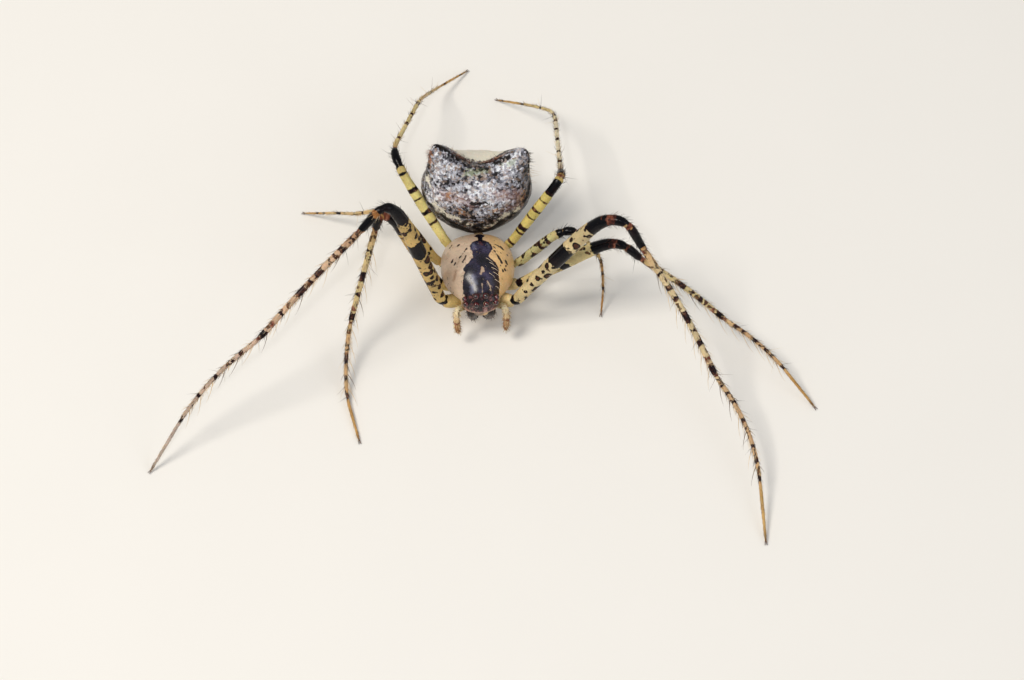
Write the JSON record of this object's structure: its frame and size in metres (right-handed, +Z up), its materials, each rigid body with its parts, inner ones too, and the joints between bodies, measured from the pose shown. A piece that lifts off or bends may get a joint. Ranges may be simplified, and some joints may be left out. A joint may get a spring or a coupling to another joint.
{
  "type": "pirate spider",
  "caption": "Pirate spider standing with long bowed front legs reaching forward, two-humped upright abdomen, short mouth feelers and small eyes.",
  "frame": {"origin": "bottom centre of the model's bounding box, at the level of the floor under the feet", "axes": "+Z is up, the head looks along -Y, and the animal's own left side is at +X"},
  "size_m": [0.016, 0.0132, 0.0048],
  "materials": {
    "carapace": "smooth cuticle, peach with a dark violet mark along the middle",
    "waist": "dull brown cuticle",
    "abdomen": "soft granular skin, grey and cream with black and rust patches",
    "spinneret": "dull brown",
    "jaw": "dark polished cuticle",
    "fang": "dark polished horn",
    "palp": "pale amber cuticle",
    "eye": "polished dark red lens",
    "coxa": "amber cuticle",
    "femur": "tan cuticle with dark blotches",
    "tibia": "pale tan cuticle with dark bands",
    "tarsus": "pale tan cuticle with fine dark bands"
  },
  "bodies": {
    "root": {"prosoma": "carapace", "pedicel": "waist", "abdomen": "abdomen", "spinnerets": "spinneret", "left_chelicera": "jaw", "right_chelicera": "jaw", "left_fang": "fang", "right_fang": "fang", "left_pedipalp": "palp", "right_pedipalp": "palp", "left_front_middle_eye": "eye", "left_rear_middle_eye": "eye", "left_front_side_eye": "eye", "left_rear_side_eye": "eye", "right_front_middle_eye": "eye", "right_rear_middle_eye": "eye", "right_front_side_eye": "eye", "right_rear_side_eye": "eye", "left_leg_1_coxa": "coxa", "left_leg_1_femur": "femur", "left_leg_1_tibia": "tibia", "left_leg_1_tarsus": "tarsus", "left_leg_2_coxa": "coxa", "left_leg_2_femur": "femur", "left_leg_2_tibia": "tibia", "left_leg_2_tarsus": "tarsus", "left_leg_3_coxa": "coxa", "left_leg_3_femur": "femur", "left_leg_3_tibia": "tibia", "left_leg_3_tarsus": "tarsus", "left_leg_4_coxa": "coxa", "left_leg_4_femur": "femur", "left_leg_4_tibia": "tibia", "left_leg_4_tarsus": "tarsus", "right_leg_1_coxa": "coxa", "right_leg_1_femur": "femur", "right_leg_1_tibia": "tibia", "right_leg_1_tarsus": "tarsus", "right_leg_2_coxa": "coxa", "right_leg_2_femur": "femur", "right_leg_2_tibia": "tibia", "right_leg_2_tarsus": "tarsus", "right_leg_3_coxa": "coxa", "right_leg_3_femur": "femur", "right_leg_3_tibia": "tibia", "right_leg_3_tarsus": "tarsus", "right_leg_4_coxa": "coxa", "right_leg_4_femur": "femur", "right_leg_4_tibia": "tibia", "right_leg_4_tarsus": "tarsus"}
  },
  "joints": []
}
